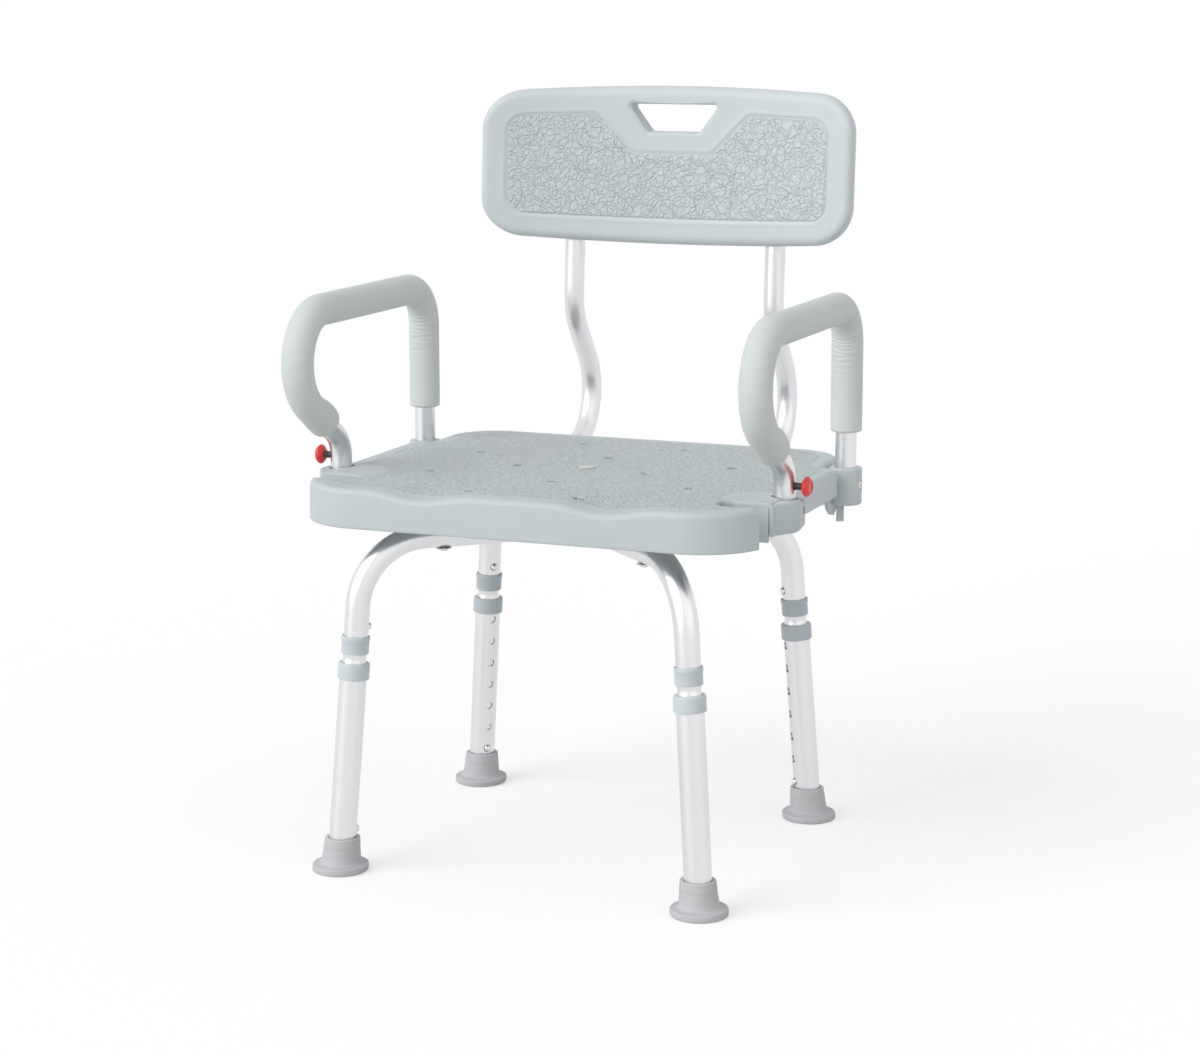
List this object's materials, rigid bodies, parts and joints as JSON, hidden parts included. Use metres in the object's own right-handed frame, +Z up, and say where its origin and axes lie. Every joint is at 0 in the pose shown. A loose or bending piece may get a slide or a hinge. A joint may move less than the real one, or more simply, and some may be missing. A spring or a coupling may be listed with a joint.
{
  "type": "shower chair",
  "caption": "Height-adjustable bath chair with a contoured seat, a curved backrest and padded swing-up arms on a crossed tube frame.",
  "frame": {"origin": "on the floor, under the middle of the bounding box", "axes": "+Z up; the sitter faces -Y; +X is on the right when looking along +Y"},
  "size_m": [0.5394, 0.5396, 0.783],
  "materials": {
    "seat_plastic": "satin, leather grain on the seat and the back field",
    "foam": "soft closed-cell foam, matt",
    "anodised": "satin anodised, fine drawing lines",
    "collar_plastic": "satin moulded",
    "foot_rubber": "matt moulded",
    "red_plastic": "gloss moulded",
    "steel": "bright, slightly brushed",
    "cap_plastic": "satin moulded"
  },
  "bodies": {
    "chair": {"frame_tube_lower": "anodised", "frame_tube_upper": "anodised", "cross_bolt": "steel", "cross_nut": "steel", "seat": "seat_plastic", "drain_cap": "cap_plastic", "back_panel": "seat_plastic", "seat_screw_fl": "steel", "inner_leg_fl": "anodised", "joint_collar_fl": "collar_plastic", "seat_screw_rl": "steel", "inner_leg_rl": "anodised", "joint_collar_rl": "collar_plastic", "seat_screw_fr": "steel", "inner_leg_fr": "anodised", "joint_collar_fr": "collar_plastic", "seat_screw_rr": "steel", "inner_leg_rr": "anodised", "joint_collar_rr": "collar_plastic", "back_tube_l": "anodised", "pivot_bolt_l": "steel", "pivot_nut_l": "steel", "back_tube_r": "anodised", "pivot_bolt_r": "steel", "pivot_nut_r": "steel"},
    "leg_fl": {"outer_leg_fl": "anodised", "leg_collar_fl": "collar_plastic", "foot_fl": "foot_rubber"},
    "height_snap_fl": {"height_button_fl": "steel"},
    "joint_snap_fl": {"joint_button_fl": "steel"},
    "leg_rl": {"outer_leg_rl": "anodised", "leg_collar_rl": "collar_plastic", "foot_rl": "foot_rubber"},
    "height_snap_rl": {"height_button_rl": "steel"},
    "joint_snap_rl": {"joint_button_rl": "steel"},
    "leg_fr": {"outer_leg_fr": "anodised", "leg_collar_fr": "collar_plastic", "foot_fr": "foot_rubber"},
    "height_snap_fr": {"height_button_fr": "steel"},
    "joint_snap_fr": {"joint_button_fr": "steel"},
    "leg_rr": {"outer_leg_rr": "anodised", "leg_collar_rr": "collar_plastic", "foot_rr": "foot_rubber"},
    "height_snap_rr": {"height_button_rr": "steel"},
    "joint_snap_rr": {"joint_button_rr": "steel"},
    "arm_l": {"arm_tube_l": "anodised", "arm_pad_l": "foam", "arm_bracket_l": "seat_plastic"},
    "release_l": {"release_knob_l": "red_plastic", "release_spring_l": "steel"},
    "back_snap_l": {"back_button_l": "steel"},
    "arm_r": {"arm_tube_r": "anodised", "arm_pad_r": "foam", "arm_bracket_r": "seat_plastic"},
    "release_r": {"release_knob_r": "red_plastic", "release_spring_r": "steel"},
    "back_snap_r": {"back_button_r": "steel"}
  },
  "joints": [
    {"name": "leg_extend_fl", "type": "slide", "parent": "chair", "child": "leg_fl", "axis": [-0.0688, -0.0419, -0.9968], "range_m": [0, 0.1524], "deforming": ["height_button_fl"]},
    {"name": "height_button_press_fl", "type": "slide", "parent": "chair", "child": "height_snap_fl", "axis": [-0.739, -0.669, 0.0791], "range_m": [0, 0.0046], "stiffness_N_per_m": 600, "springref_m": -0.001},
    {"name": "joint_button_press_fl", "type": "slide", "parent": "chair", "child": "joint_snap_fl", "axis": [-0.739, -0.669, 0.0791], "range_m": [0, 0.0046], "stiffness_N_per_m": 600, "springref_m": -0.001},
    {"name": "leg_extend_rl", "type": "slide", "parent": "chair", "child": "leg_rl", "axis": [-0.0688, 0.0419, -0.9968], "range_m": [0, 0.1524], "deforming": ["height_button_rl"]},
    {"name": "height_button_press_rl", "type": "slide", "parent": "chair", "child": "height_snap_rl", "axis": [-0.739, 0.669, 0.0791], "range_m": [0, 0.0046], "stiffness_N_per_m": 600, "springref_m": -0.001},
    {"name": "joint_button_press_rl", "type": "slide", "parent": "chair", "child": "joint_snap_rl", "axis": [-0.739, 0.669, 0.0791], "range_m": [0, 0.0046], "stiffness_N_per_m": 600, "springref_m": -0.001},
    {"name": "leg_extend_fr", "type": "slide", "parent": "chair", "child": "leg_fr", "axis": [0.0688, -0.0419, -0.9968], "range_m": [0, 0.1524], "deforming": ["height_button_fr"]},
    {"name": "height_button_press_fr", "type": "slide", "parent": "chair", "child": "height_snap_fr", "axis": [0.739, -0.669, 0.0791], "range_m": [0, 0.0046], "stiffness_N_per_m": 600, "springref_m": -0.001},
    {"name": "joint_button_press_fr", "type": "slide", "parent": "chair", "child": "joint_snap_fr", "axis": [0.739, -0.669, 0.0791], "range_m": [0, 0.0046], "stiffness_N_per_m": 600, "springref_m": -0.001},
    {"name": "leg_extend_rr", "type": "slide", "parent": "chair", "child": "leg_rr", "axis": [0.0688, 0.0419, -0.9968], "range_m": [0, 0.1524], "deforming": ["height_button_rr"]},
    {"name": "height_button_press_rr", "type": "slide", "parent": "chair", "child": "height_snap_rr", "axis": [0.739, 0.669, 0.0791], "range_m": [0, 0.0046], "stiffness_N_per_m": 600, "springref_m": -0.001},
    {"name": "joint_button_press_rr", "type": "slide", "parent": "chair", "child": "joint_snap_rr", "axis": [0.739, 0.669, 0.0791], "range_m": [0, 0.0046], "stiffness_N_per_m": 600, "springref_m": -0.001},
    {"name": "arm_lift_l", "type": "hinge", "parent": "chair", "child": "arm_l", "pos_m": [-0.2427, 0.07372, 0.379], "axis": [1, 0, 0], "range_deg": [-90, 0], "deforming": ["release_spring_l"]},
    {"name": "arm_release_l", "type": "slide", "parent": "arm_l", "child": "release_l", "axis": [1, 0, 0], "range_m": [0, 0.0042], "stiffness_N_per_m": 600, "springref_m": -0.001},
    {"name": "back_button_press_l", "type": "slide", "parent": "chair", "child": "back_snap_l", "axis": [0, 0, 1], "range_m": [0, 0.0046], "stiffness_N_per_m": 600, "springref_m": -0.001},
    {"name": "arm_lift_r", "type": "hinge", "parent": "chair", "child": "arm_r", "pos_m": [0.2427, 0.07372, 0.379], "axis": [1, 0, 0], "range_deg": [-90, 0], "deforming": ["release_spring_r"]},
    {"name": "arm_release_r", "type": "slide", "parent": "arm_r", "child": "release_r", "axis": [-1, 0, 0], "range_m": [0, 0.0042], "stiffness_N_per_m": 600, "springref_m": -0.001},
    {"name": "back_button_press_r", "type": "slide", "parent": "chair", "child": "back_snap_r", "axis": [0, 0, 1], "range_m": [0, 0.0046], "stiffness_N_per_m": 600, "springref_m": -0.001}
  ]
}
